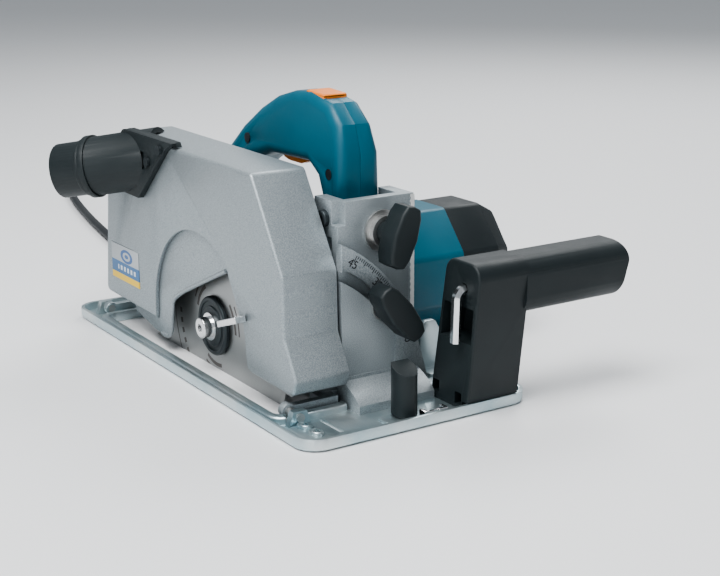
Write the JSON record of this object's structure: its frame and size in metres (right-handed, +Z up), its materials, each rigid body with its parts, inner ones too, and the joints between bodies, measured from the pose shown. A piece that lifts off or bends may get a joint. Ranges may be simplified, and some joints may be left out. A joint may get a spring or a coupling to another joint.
{
  "type": "track plunge saw",
  "caption": "Portable circular saw on a pressed base with tilt quadrant, front pivot for plunging, retracting lower guard, dust port, rear D-handle and cross front handle.",
  "frame": {"origin": "on the sole, in the blade's plane, just behind the front edge of the base", "axes": "+X the cutting direction, +Y towards the motor, +Z up from the sole"},
  "size_m": [0.7505, 0.2908, 0.2394],
  "materials": {
    "zinc_steel": "zinc plated, satin",
    "cast_silver": "fine silver paint on a casting",
    "machined_steel": "machined",
    "bright_chrome": "polished",
    "dark_steel": "blackened",
    "blade_steel": "ground",
    "spring_steel": "drawn wire",
    "black_plastic": "fine grain",
    "teal_plastic": "fine grain",
    "orange_plastic": "fine grain",
    "copper_windings": "enamelled",
    "laminations": "stacked sheet",
    "carbon": "pressed carbon",
    "label_blue": "printed film",
    "label_white": "printed film",
    "lead_rubber": "matt rubber sheath"
  },
  "bodies": {
    "base": {"base_plate": "zinc_steel", "base_screws": "zinc_steel", "sight_clip": "bright_chrome", "stop_lug": "zinc_steel", "tilt_lugs": "zinc_steel", "tilt_quadrant": "cast_silver", "front_handle": "black_plastic"},
    "hex_key": {"hex_key": "bright_chrome"},
    "guide_clamp": {"guide_clamp_knob": "black_plastic"},
    "tilt_frame": {"tilt_bracket": "cast_silver", "tilt_rail": "zinc_steel", "tilt_pins": "machined_steel", "pivot_pin": "machined_steel", "pivot_screw": "dark_steel", "lift_spring": "spring_steel", "depth_clamp_bolt": "machined_steel", "power_lead": "lead_rubber", "lead_coil": "lead_rubber", "plug_lead": "lead_rubber", "plug": "black_plastic"},
    "tilt_clamp": {"tilt_clamp_bolt": "machined_steel"},
    "tilt_wing": {"tilt_wing_knob": "black_plastic"},
    "depth_wing": {"depth_wing_knob": "black_plastic"},
    "head": {"upper_guard": "cast_silver", "guard_screws": "machined_steel", "gear_case": "cast_silver", "spindle_front_bearing": "machined_steel", "spindle_rear_bearing": "machined_steel", "armature_bearings": "machined_steel", "guard_spring": "spring_steel", "dust_hood": "black_plastic", "hood_screws": "dark_steel", "side_label": "label_blue", "motor_housing": "teal_plastic", "motor_end_cap": "black_plastic", "stator": "copper_windings", "brush_holders": "machined_steel", "carbon_brushes": "carbon", "motor_label": "label_white", "handle_left": "teal_plastic", "handle_right": "teal_plastic", "switch_body": "black_plastic", "handle_bolts": "dark_steel", "strain_relief": "lead_rubber"},
    "spindle_lock": {"spindle_lock": "black_plastic"},
    "blade": {"spindle": "machined_steel", "spindle_gear": "machined_steel", "inner_flange": "dark_steel", "saw_blade": "blade_steel", "outer_flange": "dark_steel", "blade_bolt": "bright_chrome", "blade_washer": "bright_chrome"},
    "armature": {"armature": "laminations", "commutator": "copper_windings", "cooling_fan": "black_plastic"},
    "lower_guard": {"lower_guard": "cast_silver", "lift_tab": "bright_chrome"},
    "dust_cuff": {"dust_cuff": "black_plastic"},
    "trigger": {"trigger": "orange_plastic"},
    "lock_button": {"lock_button": "orange_plastic"}
  },
  "joints": [
    {"name": "tilt", "type": "hinge", "parent": "base", "child": "tilt_frame", "pos_m": [-0.15, -0.012, 0.007], "axis": [1, 0, 0], "range_deg": [0, 45]},
    {"name": "tilt_clamp_swing", "type": "hinge", "parent": "base", "child": "tilt_clamp", "pos_m": [-0.15, -0.012, 0.007], "axis": [1, 0, 0], "range_deg": [0, 22.5]},
    {"name": "tilt_wing_turn", "type": "hinge", "parent": "tilt_clamp", "child": "tilt_wing", "pos_m": [-0.035, 0.05061, 0.0568], "axis": [1, 0, 0], "range_deg": [0, 60]},
    {"name": "depth", "type": "hinge", "parent": "tilt_frame", "child": "head", "pos_m": [-0.065, 0.048, 0.107], "axis": [0, 1, 0], "range_deg": [0, 38]},
    {"name": "depth_wing_turn", "type": "hinge", "parent": "tilt_frame", "child": "depth_wing", "pos_m": [-0.04, 0.055, 0.099], "axis": [1, 0, 0], "range_deg": [-60, 0]},
    {"name": "blade_spin", "type": "hinge", "parent": "head", "child": "blade", "pos_m": [-0.15, 0, 0.0275], "axis": [0, 1, 0], "continuous": true},
    {"name": "armature_spin", "type": "hinge", "parent": "head", "child": "armature", "pos_m": [-0.1374, 0.1, 0.04614], "axis": [0, 1, 0], "continuous": true},
    {"name": "lower_guard_swing", "type": "hinge", "parent": "head", "child": "lower_guard", "pos_m": [-0.15, 0.009, 0.0275], "axis": [0, 1, 0], "range_deg": [-150, 0]},
    {"name": "trigger_press", "type": "slide", "parent": "head", "child": "trigger", "axis": [0, 0, 1], "range_m": [0, 0.005], "stiffness_N_per_m": 400, "springref_m": -0.003},
    {"name": "lock_button_press", "type": "slide", "parent": "head", "child": "lock_button", "axis": [0, 0, -1], "range_m": [0, 0.003], "stiffness_N_per_m": 400, "springref_m": -0.003},
    {"name": "spindle_lock_press", "type": "slide", "parent": "head", "child": "spindle_lock", "axis": [0, 0, -1], "range_m": [0, 0.003], "stiffness_N_per_m": 400, "springref_m": -0.003},
    {"name": "dust_cuff_swivel", "type": "hinge", "parent": "head", "child": "dust_cuff", "pos_m": [-0.239, -0.015, 0.117], "axis": [-0.7352, -0.6552, -0.174], "continuous": true},
    {"name": "guide_clamp_turn", "type": "hinge", "parent": "base", "child": "guide_clamp", "pos_m": [-0.011, 0.0428, 0.02], "axis": [0, 0, 1], "range_deg": [0, 90]},
    {"name": "hex_key_pull", "type": "slide", "parent": "base", "child": "hex_key", "axis": [0, -1, 0], "range_m": [0, 0.03]}
  ],
  "couplings": [
    {"joint": "armature_spin", "follows": "blade_spin", "ratio": -4},
    {"joint": "tilt_clamp_swing", "follows": "tilt", "ratio": 0.5}
  ]
}
